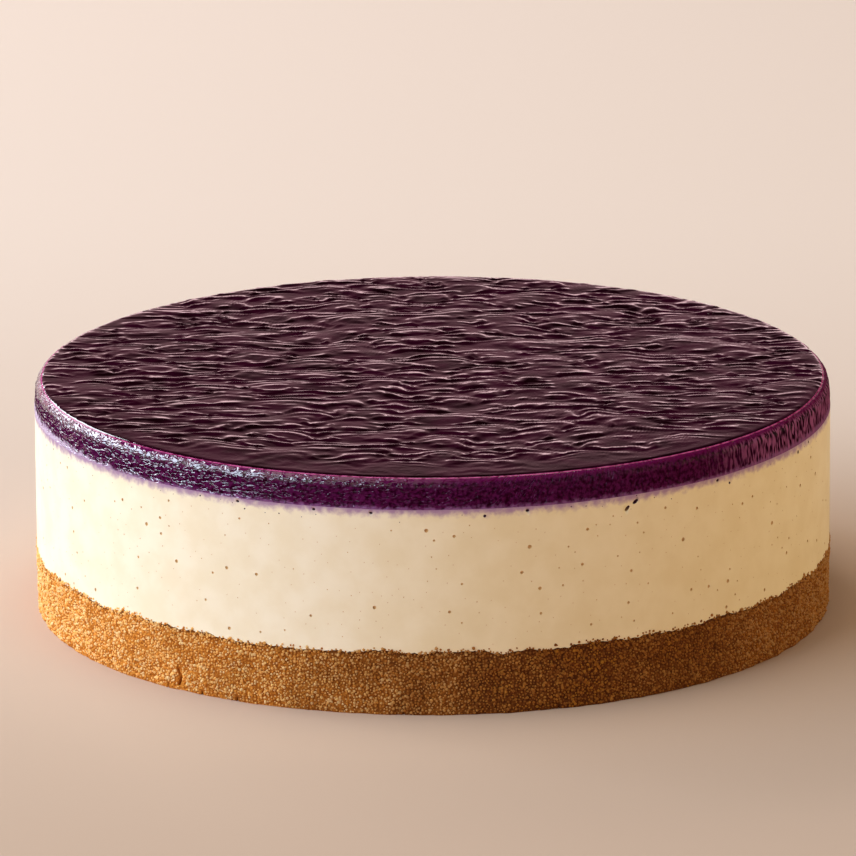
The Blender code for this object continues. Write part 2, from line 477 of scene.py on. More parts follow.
jelly = {
    "cellsAcross": 150,         # squares along the sides of the grid that becomes the top; the ripples
    "cellsAlong": 400,          # lie across it, so it is finer from front to back
    "edgeRadius": 3.2 * mm,
    "edgeSteps": 10,
    "wallRows": 14,
    "topInset": 0.4 * mm,
    "waver": 0.15 * mm,
    "waverSize": 12.0 * mm,
    "rippleLength": 5.5 * mm,   # from one crest to the next
    "rippleHeight": 0.38 * mm,
    "rippleFlat": 0.14,         # shares of that length: level up to here,
    "ripplePeak": 0.63,         # then a gentle rise to the crest, and a steep fall towards the front
    "domeAcross": 16.0 * mm,    # domes that bend the ripples into arcs
    "domeAlong": 11.5 * mm,
    "domeBend": 15.0 * mm,
    "domeHeight": 0.4 * mm,
    "bendAcross": 7.0 * mm,     # and smaller bends in them
    "bendAlong": 6.0 * mm,
    "bendReach": 4.5 * mm,
    "strokeAcross": 8.0 * mm,   # the size of the stretches in which a ripple comes and goes
    "strokeAlong": 5.0 * mm,
    "strokes": (-0.45, 0.0),    # the noise below which there is none, and above which it is whole
    "mostRaised": 1.25,         # ripples are lower the closer they lie, and up to this much higher
    "slopeStep": 0.3 * mm,      # the wider; over this step the closeness is measured
    "domeTops": (0.28, 0.45),   # heights on the domes over which the ripples fade
    "domeFade": 0.6,            # by up to this share
    "skinSlice": 1.3,
    "calmEdge": 3.0 * mm,
    "edgeShare": 0.5,           # the share of the ripples that the edge keeps
    "calmFront": 20.0 * mm,     # width of the strip in the middle of the front
    "calmShare": 0.2,           # and the share that it keeps
    "creaseHeight": 0.3 * mm,   # level creases in the side
    "creaseAcross": 3.0 * mm,
    "creaseUp": 1.3 * mm,
    "streakHeight": 0.4 * mm,   # upright creases, round the right-hand end
    "streakAcross": 3.2 * mm,
    "streakUp": 7.0 * mm,
    "streakEnd": (0.4, 0.85),   # cosines of the angle over which they take the creases' place
}
meanNoise = 0.23  # mean distance of Blender's noise from zero


def dome(x, y, across, along, layer):
    return abs(noise.noise(Vector((x / across, y / along, jelly["skinSlice"] + layer))))


def ripplePhase(x, y):
    # How many ripples a place lies from the middle of the cake, and how high on its dome
    high = dome(x, y, jelly["domeAcross"], jelly["domeAlong"], layer=0)
    bend = dome(x, y, jelly["bendAcross"], jelly["bendAlong"], layer=3)
    return (jelly["domeBend"] * high + jelly["bendReach"] * bend - y) / jelly["rippleLength"], high


def rippleShape(phase):
    t = phase % 1.0
    if t < jelly["ripplePeak"]:
        return smoothStep(jelly["rippleFlat"], jelly["ripplePeak"], t)
    return 1 - smoothStep(jelly["ripplePeak"], 1.0, t)


def ripple(x, y):
    # Height of the skin above its mean level
    phase, high = ripplePhase(x, y)
    nextPhase, _ = ripplePhase(x, y - jelly["slopeStep"])
    squeezed = abs(nextPhase - phase) * jelly["rippleLength"] / jelly["slopeStep"]
    place = Vector((x / jelly["strokeAcross"], y / jelly["strokeAlong"], jelly["skinSlice"] + 6))
    share = smoothStep(*jelly["strokes"], noise.noise(place))
    share *= 1 - jelly["domeFade"] * smoothStep(*jelly["domeTops"], high)
    ripples = jelly["rippleHeight"] * share * rippleShape(phase) / max(1 / jelly["mostRaised"], squeezed)
    # Calmer at the edge, and in a strip along the front
    fromEdge = cake["radius"] - math.hypot(x, y) - jelly["edgeRadius"]
    edge = jelly["edgeShare"] + (1 - jelly["edgeShare"]) * smoothStep(0.0, jelly["calmEdge"], fromEdge)
    halfChord = math.sqrt(max(0.0, cake["radius"] ** 2 - x * x))
    strip = jelly["calmFront"] * halfChord / cake["radius"]
    front = smoothStep(strip / 2, strip + mm, y + halfChord)
    front = jelly["calmShare"] + (1 - jelly["calmShare"]) * front
    return edge * front * (ripples + jelly["domeHeight"] * (high - meanNoise))


def discGrid(across, along, radius):
    # A square grid laid onto a disc. The front and the back of its rim get twice as many corners
    bm = bmesh.new()
    bmesh.ops.create_grid(bm, x_segments=across, y_segments=along, size=1.0)
    rim = [edge for edge in bm.edges if edge.is_boundary]
    level = [edge for edge in rim if abs(edge.verts[0].co.y - edge.verts[1].co.y) < 1e-6]
    bmesh.ops.subdivide_edges(bm, edges=level, cuts=1)
    for vertex in bm.verts:
        u, v = vertex.co.x, vertex.co.y
        wide = abs(u) >= abs(v)
        reach, turn = (u, v) if wide else (v, u)
        if reach:
            angle = math.pi / 4 * turn / reach
            near, far = reach * math.sin(angle), reach * math.cos(angle)
            u, v = (far, near) if wide else (near, far)
        vertex.co = Vector((u * radius, v * radius, 0))
    return bm


def makeJelly(material):
    topRadius = cake["radius"] - jelly["topInset"] - jelly["edgeRadius"]
    low = cake["fillingTop"] - cake["overlap"]
    corner = cake["top"] - jelly["edgeRadius"]
    bm = discGrid(jelly["cellsAcross"], jelly["cellsAlong"], topRadius)
    for vertex in bm.verts:
        vertex.co.z = cake["top"] + ripple(vertex.co.x, vertex.co.y)

    def waver(angle):
        return jelly["waver"] * wander(angle, jelly["waverSize"], layer=6.4)

    def crease(angle, height):
        level = wallNoise(angle, height, jelly["creaseAcross"], jelly["creaseUp"])
        upright = wallNoise(angle, height, jelly["streakAcross"], jelly["streakUp"], layer=5.0)
        toRight = smoothStep(*jelly["streakEnd"], math.cos(angle))
        return jelly["creaseHeight"] * level * (1 - toRight) + jelly["streakHeight"] * upright * toRight

    def edgeRing(step):
        turn = math.pi / 2 * step / jelly["edgeSteps"]
        radius = topRadius + jelly["edgeRadius"] * math.sin(turn)
        height = corner + jelly["edgeRadius"] * math.cos(turn)

        def place(angle):
            lift = ripple(radius * math.cos(angle), radius * math.sin(angle)) * math.cos(turn) ** 2
            away = waver(angle) + crease(angle, height) * math.sin(turn)
            return radius + away * math.sin(turn), height + lift

        return place

    def wallRing(row):
        share = row / jelly["wallRows"]
        height = corner + share * (low - corner)
        radius = cake["radius"] - jelly["topInset"] * (1 - share)

        def place(angle):
            # Both have faded out at the filling
            away = waver(angle) * (1 - share) + crease(angle, height) * (1 - share ** 4)
            return radius + away, height

        return place

    ring = [vertex for vertex in bm.verts if vertex.is_boundary]
    ring.sort(key=lambda vertex: math.atan2(vertex.co.y, vertex.co.x))
    for step in range(1, jelly["edgeSteps"] + 1):
        ring = addRing(bm, ring, edgeRing(step))
    for row in range(1, jelly["wallRows"] + 1):
        ring = addRing(bm, ring, wallRing(row))
    bm.faces.new(ring)
    piece = meshObject("jelly", bm, material, smoothAngle=60)
    ofCake(piece, node="berry_jelly")


jellyLook = {
    # Darkest and lightest colour
    "top": ("120104", "2e0618"),
    "side": ("260118", "541644"),
    "rightSide": ("180010", "90507c"),
    "line": ("7c1c4c", "c05488"),  # the pink line inside the rim: painted glow of light through the jelly's edge
    "foot": ("8a5888", "d2bcd2"),  # where the cream shows through: in general, and at the left end, where the paler colour is also a painted highlight
    "glow": "600c44",              # the rim, above the side: painted glow of light through the thin jelly
    # Where each comes in and is whole, in millimetres: by height,
    "paintedGlowEnds": (66.9, 65.6),
    "sideFrom": (66.4, 64.4),
    "footFrom": (60.4, 58.9),
    # by distance from the middle,
    "lineFrom": (112.0, 112.25),
    "lineEnds": (112.4, 112.65),
    "rimFrom": (112.4, 112.8),
    # and across the cake
    "rightSideFrom": (70.0, 98.0),
    "paleFootHighlightFrom": (-70.0, -108.0),
    "footRisesFrom": ((-85.0, -112.0), (70.0, 110.0)),
    "footRises": (1.3, 0.8),       # how much higher up it is at those two ends
    "footShows": 0.8,
    # Creases of the side
    "level": (0.55, 0.55, 1.5),    # how tightly they are packed each way, at the left
    "upright": (1.0, 1.0, 0.25),   # and at the right
    "uprightFrom": (10.0, 70.0),
    "creaseDepth": 0.85 * mm,
    "creaseMean": 0.53,            # taken off their height, so that they leave no step at the rim
    "creasesOnTop": 0.04,          # the share of them that the top keeps
    # Sheen
    "coatRoughness": 0.06,
    "coatIor": 1.9,
    "wetFrom": (0.24, 0.36),       # how far up a place on the side faces, as the Z of its normal
    "wetLeftFrom": (-30.0, -75.0),
    "wetRight": 0.15,              # the share of it away from the left
    "driedFrom": (-50.0, 20.0),
    "driedDull": 0.96,             # the shares of it that go
    "lineDull": 0.8,
}


def jellyColour(tree, place, onRim, onLine):
    look = jellyLook
    across = axis(tree, place, "X")
    height = axis(tree, place, "Z")
    top = clouds(tree, place, look["top"], Size=11.0, Detail=3.0, Low=0.35, High=0.65)
    side = clouds(tree, place, look["side"], Size=1.0, Detail=3.0, Low=0.3, High=0.7)
    streaks = clouds(tree, stretched(tree, place, look["upright"]), look["rightSide"],
                     Size=0.8, Detail=1.0, Low=0.4, High=0.6)
    toRight = ramp(tree, across, *look["rightSideFrom"])
    wall = mixColour(tree, toRight, side.outputs["Colour"], streaks.outputs["Colour"])
    # Painted glow of light through the rim, above the side
    wall = mixColour(tree, ramp(tree, height, *look["paintedGlowEnds"]), rgb(look["glow"]), wall)
    colour = mixColour(tree, onRim, top.outputs["Colour"], wall)
    # The pink line is painted glow of light through the jelly's edge
    broken = clouds(tree, place, look["line"], Size=1.6, Detail=2.0, Low=0.35, High=0.6)
    colour = mixColour(tree, onLine, colour, broken.outputs["Colour"])
    # The cream shows through the foot of the jelly, higher up towards both ends; the paler, higher foot at
    # the left end is also a painted highlight
    ragged = useGroup(tree, mottle, Vector=place, Size=1.6, Detail=3.0, Low=0.3, High=0.7)
    edgeAt = plus(tree, height, ragged.outputs["Mask"])
    for ends, rise in zip(look["footRisesFrom"], look["footRises"]):
        edgeAt = minus(tree, edgeAt, times(tree, ramp(tree, across, *ends), rise))
    foot = mixColour(tree, ramp(tree, across, *look["paleFootHighlightFrom"]), *shades(look["foot"]))
    showing = times(tree, ramp(tree, edgeAt, *look["footFrom"]), look["footShows"])
    return mixColour(tree, showing, colour, foot)


def jellyFinish():
    # The sheen is a coat: whole on the top and the rim, and on the side only where that faces up a little
    look = jellyLook
    made, tree, shader = newFinish("plumJelly", roughness=0.5, specular=0.0)
    shader.inputs["Coat Roughness"].default_value = look["coatRoughness"]
    shader.inputs["Coat IOR"].default_value = look["coatIor"]
    place = millimetres(tree)
    across = axis(tree, place, "X")
    radius = fromMiddle(tree, place)
    onRim = ramp(tree, radius, *look["rimFrom"])
    onLine = minus(tree, ramp(tree, radius, *look["lineFrom"]), ramp(tree, radius, *look["lineEnds"]))
    tree.links.new(jellyColour(tree, place, onRim, onLine), shader.inputs["Base Color"])
    # Its creases lie level on the left and stand upright on the right
    turned = addNode(tree, "ShaderNodeMix", {
        "Factor_Float": ramp(tree, across, *look["uprightFrom"]),
        "A_Vector": stretched(tree, place, look["level"]),
        "B_Vector": stretched(tree, place, look["upright"])}, data_type="VECTOR")
    fine = useGroup(tree, wrinkle, Vector=turned.outputs[1], Size=1.3, Detail=1.0, Sharpness=0.3)
    crease = times(tree, minus(tree, fine.outputs["Height"], look["creaseMean"]),
                   atLeast(tree, look["creasesOnTop"], onRim))
    normal = bump(tree, shader, crease, strength=1.0, distance=look["creaseDepth"])
    tree.links.new(normal, shader.inputs["Coat Normal"])
    onLeft = atLeast(tree, look["wetRight"], ramp(tree, across, *look["wetLeftFrom"]))
    wet = times(tree, ramp(tree, axis(tree, normal, "Z"), *look["wetFrom"]), onLeft)
    onSide = ramp(tree, axis(tree, place, "Z"), *look["sideFrom"])
    sideDull = times(tree, onSide, minus(tree, 1.0, wet))
    # Away from the left the rim has dried, and its sheen is weaker there, as it is on the pink line
    dried = times(tree, ramp(tree, across, *look["driedFrom"]), onRim)
    dull = calc(tree, "MAXIMUM", sideDull, times(tree, dried, look["driedDull"]))
    dull = calc(tree, "MAXIMUM", dull, times(tree, onLine, look["lineDull"]))
    tree.links.new(minus(tree, 1.0, dull), shader.inputs["Coat Weight"])
    return made


# Outline of the crumb base, which the filling follows

base = {
    "columns": 720,
    "rows": 22,
    "inset": 0.2 * mm,
    "cragDepth": 0.55 * mm,
    "cragSize": 6.0 * mm,
    "footTuck": 0.1 * mm,
    "lineRise": 0.85 * mm,
    "lineSize": 9.0 * mm,
    "raggedRise": 0.6 * mm,
    "raggedSize": 1.3 * mm,
    "seamRing": 7.0 * mm,
    "pitDepth": 0.12 * mm,
    "pitSize": 1.6 * mm,
}


def crumbLine(angle):
    # Height of the seam between crumbs and filling, at the side
    coarse = wander(angle, base["lineSize"], layer=3.7)
    fine = wander(angle, base["lineSize"] / finer, layer=8.1)
    ragged = wander(angle, base["raggedSize"], layer=5.2)
    return cake["baseTop"] + base["lineRise"] * (coarse + fine / 2) + base["raggedRise"] * ragged


def crag(angle, height):
    # How far the crumb wall stands out or falls back at a place on it
    around = cake["radius"] / base["cragSize"]
    place = Vector((math.cos(angle) * around, math.sin(angle) * around, height / base["cragSize"]))
    return base["cragDepth"] * (noise.noise(place) + noise.noise(place * finer) / 2)


# Cream filling

filling = {
    "columns": 1080,
    "rows": 30,
    "waver": 0.2 * mm,
    "waverSize": 35.0 * mm,
    "bottomRounding": 0.5 * mm,
    "poreSpacing": 2.4 * mm,              # the closest that two pores lie
    "poreSizes": (0.13 * mm, 0.62 * mm),  # radius of the smallest and of the largest
    "poresTried": 0.35,                   # points tried on each square of that spacing
    "poreRarity": 6.0,                    # more for fewer large ones
    "poresClear": (2.0 * mm, 1.0 * mm),   # kept free of them above the crumbs and under the jelly
    "wallFacing": 0.5,                    # the wall is what faces up or down by less than this
    "seed": 11,
    # Slits and dots close under the jelly: degrees from the front, height, degrees of slant, length, width
    "slits": ((29.0, 56.7 * mm, 30, 2.0 * mm, 1.05 * mm), (27.7, 55.1 * mm, 45, 2.0 * mm, 1.05 * mm),
              (-27.9, 57.7 * mm, 0, 1.1 * mm, 0.7 * mm), (-16.5, 57.8 * mm, 0, 0.9 * mm, 0.7 * mm),
              (-8.5, 57.6 * mm, 0, 1.0 * mm, 0.7 * mm), (13.0, 57.6 * mm, 0, 1.1 * mm, 0.8 * mm),
              (43.5, 57.7 * mm, 0, 1.2 * mm, 0.8 * mm)),
    "slitDepth": 0.9 * mm,
}


def makeFilling(material):
    top = cake["fillingTop"]

    def wallRing(share):
        def place(angle):
            low = crumbLine(angle)
            height = low + share * (top - low)
            away = filling["waver"] * wander(angle, filling["waverSize"], layer=share)
            return cake["radius"] + away, height
        return place

    def under(angle):
        return cake["radius"] - base["seamRing"], cake["baseTop"]

    def lip(angle):
        return cake["radius"] - filling["bottomRounding"], crumbLine(angle) - cake["overlap"]

    def over(angle):
        return cake["radius"] - base["seamRing"], top

    walls = [wallRing(row / filling["rows"]) for row in range(filling["rows"] + 1)]
    bm = turnedLayer(filling["columns"], [under, lip] + walls + [over])
    solid = meshObject("filling", bm)
    slits = makeSlits()
    smallest, largest = filling["poreSizes"]
    below, above = filling["poresClear"]
    mesh = runTree(solid, poreTree(), {
        "Spacing": filling["poreSpacing"], "Smallest": smallest, "Largest": largest,
        "Low": cake["baseTop"] + below, "High": top - above, "Slits": slits,
        "Seed": filling["seed"], "Material": material,
    })
    piece = plainPiece("filling", mesh, solid)
    bpy.data.objects.remove(slits)
    ofCake(piece, node="cream_filling")


def poreTree():
    # Cuts round pores and the slits into the wall of the filling
    tree, given, out = newTree("cutPores", [
        ("Spacing", "NodeSocketFloat"), ("Smallest", "NodeSocketFloat"), ("Largest", "NodeSocketFloat"),
        ("Low", "NodeSocketFloat"), ("High", "NodeSocketFloat"), ("Slits", "NodeSocketObject"),
        ("Seed", "NodeSocketInt"), ("Material", "NodeSocketMaterial"),
    ])
    facing = addNode(tree, "GeometryNodeInputNormal")
    upward = axis(tree, facing.outputs["Normal"], "Z")
    where = addNode(tree, "GeometryNodeInputPosition")
    height = axis(tree, where.outputs[0], "Z")
    onWall = calc(tree, "LESS_THAN", calc(tree, "ABSOLUTE", upward), filling["wallFacing"])
    inBand = times(tree, calc(tree, "GREATER_THAN", height, given["Low"]),
                   calc(tree, "LESS_THAN", height, given["High"]))
    square = times(tree, given["Spacing"], given["Spacing"])
    density = calc(tree, "DIVIDE", filling["poresTried"], square)
    spread = addNode(tree, "GeometryNodeDistributePointsOnFaces", {
        "Mesh": given["Geometry"], "Selection": times(tree, onWall, inBand),
        "Distance Min": given["Spacing"], "Density Max": density, "Seed": given["Seed"]},
        distribute_method="POISSON")
    draw = randomShare(tree, given["Seed"], 1)
    rare = calc(tree, "POWER", draw, filling["poreRarity"])
    sizeRange = minus(tree, given["Largest"], given["Smallest"])
    size = plus(tree, given["Smallest"], times(tree, sizeRange, rare))
    ball = addNode(tree, "GeometryNodeMeshIcoSphere", {"Radius": 1.0, "Subdivisions": 2})
    placed = addNode(tree, "GeometryNodeInstanceOnPoints", {
        "Points": spread.outputs["Points"], "Instance": ball.outputs[0],
        "Rotation": randomTurn(tree, given["Seed"]), "Scale": size})
    balls = addNode(tree, "GeometryNodeRealizeInstances", {"Geometry": placed.outputs[0]})
    slits = addNode(tree, "GeometryNodeObjectInfo", {"Object": given["Slits"]})
    cutters = addNode(tree, "GeometryNodeJoinGeometry", {"Geometry": balls.outputs[0]})
    tree.links.new(slits.outputs["Geometry"], cutters.inputs[0])
    marked = addNode(tree, "GeometryNodeStoreNamedAttribute", {
        "Geometry": cutters.outputs[0], "Name": "pore", "Value": 1.0}, data_type="FLOAT", domain="POINT")
    cut = addNode(tree, "GeometryNodeMeshBoolean", {
        "Mesh 1": given["Geometry"], "Mesh 2": marked.outputs[0]},
        operation="DIFFERENCE", solver="MANIFOLD")
    real = addNode(tree, "GeometryNodeRealizeInstances", {"Geometry": cut.outputs["Mesh"]})
    done = addNode(tree, "GeometryNodeSetMaterial", {
        "Geometry": real.outputs[0], "Material": given["Material"]})
    tree.links.new(done.outputs[0], out.inputs[0])
    return tree


def makeSlits():
    bm = bmesh.new()
    for degrees, height, slant, length, width in filling["slits"]:
        made = bmesh.ops.create_icosphere(bm, subdivisions=2, radius=1.0)["verts"]
        bmesh.ops.scale(bm, verts=made, vec=(length / 2, filling["slitDepth"], width / 2))
        bmesh.ops.rotate(bm, verts=made, matrix=Matrix.Rotation(math.radians(-slant), 3, "Y"))
        bmesh.ops.translate(bm, verts=made, vec=(0, -cake["radius"], height))
        bmesh.ops.rotate(bm, verts=made, matrix=Matrix.Rotation(math.radians(degrees), 3, "Z"))
    return meshObject("slits", bm)


creamLook = {
    # Darkest and lightest colour
    "left": ("f5e9c6", "fbf2d4"),
    "right": ("ecdbad", "f2e3b9"),  # a little darker and yellower: painted shade
    "pore": "d8b478",
    "topPore": "3c1430",            # of the slits and dots close under the jelly; both hollow colours are partly painted shade
    "stain": "9a729c",              # where the jelly has bled into the cream
    "stainShows": 0.9,
    # Where each comes in and is whole, in millimetres
    "creamShadeFrom": (-45.0, 30.0),
    "topPoreFrom": (54.0, 55.5),
    "stainFrom": (56.7, 59.5),
    "stainRagged": 1.4,
}


def creamFinish():
    look = creamLook
    made, tree, shader = newFinish("creamFilling", roughness=0.5, specular=0.35)
    place = millimetres(tree)
    height = axis(tree, place, "Z")
    left = clouds(tree, place, look["left"], Size=9.0, Detail=4.0, Low=0.3, High=0.7)
    # The right-hand colours are darker and yellower: painted shade
    right = mixColour(tree, left.outputs["Mask"], *shades(look["right"]))
    toRight = ramp(tree, axis(tree, place, "X"), *look["creamShadeFrom"])
    colour = mixColour(tree, toRight, left.outputs["Colour"], right)
    ragged = useGroup(tree, mottle, Vector=place, Size=2.0, Detail=4.0, Low=0.25, High=0.75)
    edgeAt = plus(tree, height, times(tree, ragged.outputs["Mask"], look["stainRagged"]))
    bleed = times(tree, ramp(tree, edgeAt, *look["stainFrom"]), look["stainShows"])
    colour = mixColour(tree, bleed, colour, rgb(look["stain"]))
    # The hollows of pores and slits are coloured darker: partly painted shade in them
    nearTop = ramp(tree, height, *look["topPoreFrom"])
    hollow = mixColour(tree, nearTop, rgb(look["pore"]), rgb(look["topPore"]))
    colour = mixColour(tree, attribute(tree, "pore"), colour, hollow)
    tree.links.new(colour, shader.inputs["Base Color"])
    fine = useGroup(tree, wrinkle, Vector=place, Size=3.0, Detail=4.0, Sharpness=0.0)
    bump(tree, shader, fine.outputs["Height"], strength=0.2, distance=0.2 * mm)
    return made


# Crumb base

def makeCore(material, bites):
    def wallRing(share):
        def place(angle):
            height = share * crumbLine(angle)
            tuck = base["footTuck"] * (1 - share) ** 2
            pit = base["pitDepth"] * wallNoise(angle, height, base["pitSize"], base["pitSize"])
            return cake["radius"] - base["inset"] + crag(angle, height) - tuck + pit, height
        return place

    def over(angle):
        return cake["radius"] - base["seamRing"], cake["baseTop"]

    walls = [wallRing(row / base["rows"]) for row in range(base["rows"] + 1)]
    bm = turnedLayer(base["columns"], walls + [over])
    solid = meshObject("crumbCore", bm, material)
    cut = solid.modifiers.new("bites", "BOOLEAN")
    cut.operation = "DIFFERENCE"
    cut.solver = "MANIFOLD"
    cut.object = bites
    depsgraph = bpy.context.evaluated_depsgraph_get()
    mesh = bpy.data.meshes.new_from_object(solid.evaluated_get(depsgraph), depsgraph=depsgraph)
    rise = mesh.attributes.new("rise", "FLOAT", "POINT")  # 0 at the foot and 1 at the crumb line
    for vertex in mesh.vertices:
        rise.data[vertex.index].value = vertex.co.z / crumbLine(math.atan2(vertex.co.y, vertex.co.x))
    piece = plainPiece("crumbCore", mesh, solid)
    ofCake(piece, node="crumb_base")
    return piece


crust = {
    # Darkest and lightest colour, darker than the crumbs on the core: partly painted shade for the gaps
    # between them
    "left": ("a65c14", "d88c32"),
    "right": ("482404", "6a380a"),
    "seam": "4a2408",
    "seamFrom": (0.92, 0.99),   # shares of the way up to the crumb line, over which the core is painted with shade
    "seamShows": 0.8,
    # Golden on the left, dark brown on the right as painted shade, and a little paler at its end as
    # painted light
    "paintedShadeFrom": (-98.0, 52.0),  # where it comes in and is whole, in millimetres
    "paintedShadeRagged": 24.0,
    "paintedLightFrom": (60.0, 125.0),
    "paintedLightShare": 0.25,
}


# Mixes towards the right-hand colours: painted shade, paled near the right end as painted light
def shadedToRight(tree, place, left, right):
    patch = useGroup(tree, mottle, Vector=place, Size=16.0, Detail=2.0, Low=0.3, High=0.7)
    ragged = times(tree, patch.outputs["Mask"], crust["paintedShadeRagged"])
    across = plus(tree, axis(tree, place, "X"), ragged)
    paler = times(tree, ramp(tree, across, *crust["paintedLightFrom"]), crust["paintedLightShare"])
    dark = times(tree, ramp(tree, across, *crust["paintedShadeFrom"]), minus(tree, 1.0, paler))
    return mixColour(tree, dark, left, right)


def coreFinish():
    made, tree, shader = newFinish("crumbCrust", roughness=0.9, specular=0.2)
    place = millimetres(tree)
    left = clouds(tree, place, crust["left"], Size=0.9, Detail=3.0, Low=0.35, High=0.65)
    right = mixColour(tree, left.outputs["Mask"], *shades(crust["right"]))
    # Darker close under the filling: painted shade at the seam
    seamShade = times(tree, ramp(tree, attribute(tree, "rise"), *crust["seamFrom"]), crust["seamShows"])
    # The core too is painted darker towards the right: painted shade
    colour = shadedToRight(tree, place, left.outputs["Colour"], right)
    tree.links.new(mixColour(tree, seamShade, colour, rgb(crust["seam"])), shader.inputs["Base Color"])
    fine = useGroup(tree, wrinkle, Vector=place, Size=0.8, Detail=3.0, Sharpness=0.3)
    bump(tree, shader, fine.outputs["Height"], strength=0.8, distance=0.3 * mm)
    return made


crumbs = {
    "spacing": 0.62 * mm,      # the closest that two crumbs lie
    "shapes": 6,               # how many different ones there are
    "roughness": 0.6,          # how far a crumb's corners stray from a ball
    "lumps": 1.7,              # more for smaller lumps on it
    "clearance": 0.25 * mm,    # kept free of crumbs round the crack and the notches
    "strayReach": 1.1 * mm,    # how far up the filling single crumbs cling
    "strayThinning": 3.0,      # more for fewer of them
    "tried": 2.0,              # points tried on each square of the spacing
    "wallFacing": 0.8,         # the wall is what faces up or down by less than this
    "aboveFoot": 0.8,          # largest radius of a crumb, as a share of its height above the foot
    "seamFrom": (0.93, 0.99),  # shares of the way up to the crumb line over which they get darker: painted shade
    "seamDark": 0.7,
    "speckShare": 0.3,         # how much of a crumb's tone is specks, and not its own
    "seed": 5,
    # name of the piece: share of the crumbs up to which it goes, radius from and to, then the
    # darkest and lightest crumbs on the left, and on the right where they are painted shade
    "kinds": {
        "goldenCrumbs": (0.44, 0.28 * mm, 0.56 * mm, "ffba5c", "ffda8c", "7c440e", "a4661a"),
        "toastedCrumbs": (0.72, 0.28 * mm, 0.52 * mm, "c4761e", "f8b04c", "683809", "905414"),
        "paleCrumbs": (1.0, 0.26 * mm, 0.58 * mm, "ffcc7c", "ffe8ac", "865010", "a86c18"),
    },
}


def crumbTree():
    # Crumbs all over the wall of the crumb base, half sunk in it
    tree, given, out = newTree("scatterCrumbs", [
        ("Spacing", "NodeSocketFloat"), ("Smallest", "NodeSocketFloat"), ("Largest", "NodeSocketFloat"),
        ("Share From", "NodeSocketFloat"), ("Share To", "NodeSocketFloat"),
        ("Shapes", "NodeSocketCollection"), ("Keep Clear", "NodeSocketObject"),
        ("Clearance", "NodeSocketFloat"), ("Stray Band", "NodeSocketObject"),
        ("Seed", "NodeSocketInt"), ("Material", "NodeSocketMaterial"),
    ])
    facing = addNode(tree, "GeometryNodeInputNormal")
    upward = axis(tree, facing.outputs["Normal"], "Z")
    onWall = calc(tree, "LESS_THAN", calc(tree, "ABSOLUTE", upward), crumbs["wallFacing"])
    band = addNode(tree, "GeometryNodeObjectInfo", {"Object": given["Stray Band"]})
    bed = addNode(tree, "GeometryNodeJoinGeometry", {"Geometry": given["Geometry"]})
    tree.links.new(band.outputs["Geometry"], bed.inputs[0])
    rise = addNode(tree, "GeometryNodeInputNamedAttribute", {"Name": "rise"}, data_type="FLOAT").outputs[0]
    square = times(tree, given["Spacing"], given["Spacing"])
    density = calc(tree, "DIVIDE", crumbs["tried"], square)
    thinned = calc(tree, "POWER", ramp(tree, rise, 2.0, 1.0), crumbs["strayThinning"])
    spread = addNode(tree, "GeometryNodeDistributePointsOnFaces", {
        "Mesh": bed.outputs[0], "Selection": onWall, "Distance Min": given["Spacing"],
        "Density Max": density, "Density Factor": thinned, "Seed": given["Seed"]},
        distribute_method="POISSON")
    share = randomShare(tree, given["Seed"], 1)
    tooLow = calc(tree, "LESS_THAN", share, given["Share From"])
    tooHigh = calc(tree, "GREATER_THAN", share, given["Share To"])
    clear = addNode(tree, "GeometryNodeObjectInfo", {"Object": given["Keep Clear"]})
    near = addNode(tree, "GeometryNodeProximity", {"Geometry": clear.outputs["Geometry"]},
                   target_element="FACES").outputs["Distance"]
    inTheWay = calc(tree, "LESS_THAN", near, given["Clearance"])
    unwanted = plus(tree, plus(tree, tooLow, tooHigh), inTheWay)
    points = addNode(tree, "GeometryNodeDeleteGeometry", {
        "Geometry": spread.outputs["Points"], "Selection": unwanted}, domain="POINT")
    draw = randomShare(tree, given["Seed"], 2)
    sizeRange = minus(tree, given["Largest"], given["Smallest"])
    size = times(tree, sizeRange, times(tree, draw, draw))
    size = plus(tree, given["Smallest"], size)
    where = addNode(tree, "GeometryNodeInputPosition")
    height = axis(tree, where.outputs[0], "Z")
    size = calc(tree, "MINIMUM", size, times(tree, height, crumbs["aboveFoot"]))
    # Crumbs close under the filling are darker: painted shade at the seam
    seamShade = times(tree, ramp(tree, rise, *crumbs["seamFrom"]), crumbs["seamDark"])
    tone = times(tree, randomShare(tree, given["Seed"], 3), minus(tree, 1.0, seamShade))
    shapes = addNode(tree, "GeometryNodeCollectionInfo", {
        "Collection": given["Shapes"], "Separate Children": True, "Reset Children": True})
    placed = addNode(tree, "GeometryNodeInstanceOnPoints", {
        "Points": points.outputs[0], "Instance": shapes.outputs[0], "Pick Instance": True,
        "Rotation": randomTurn(tree, given["Seed"]), "Scale": size})
    toned = addNode(tree, "GeometryNodeStoreNamedAttribute", {
        "Geometry": placed.outputs[0], "Name": "tone", "Value": tone},
        data_type="FLOAT", domain="INSTANCE")
    real = addNode(tree, "GeometryNodeRealizeInstances", {"Geometry": toned.outputs[0]})
    done = addNode(tree, "GeometryNodeSetMaterial", {
        "Geometry": real.outputs[0], "Material": given["Material"]})
    tree.links.new(done.outputs[0], out.inputs[0])
    return tree


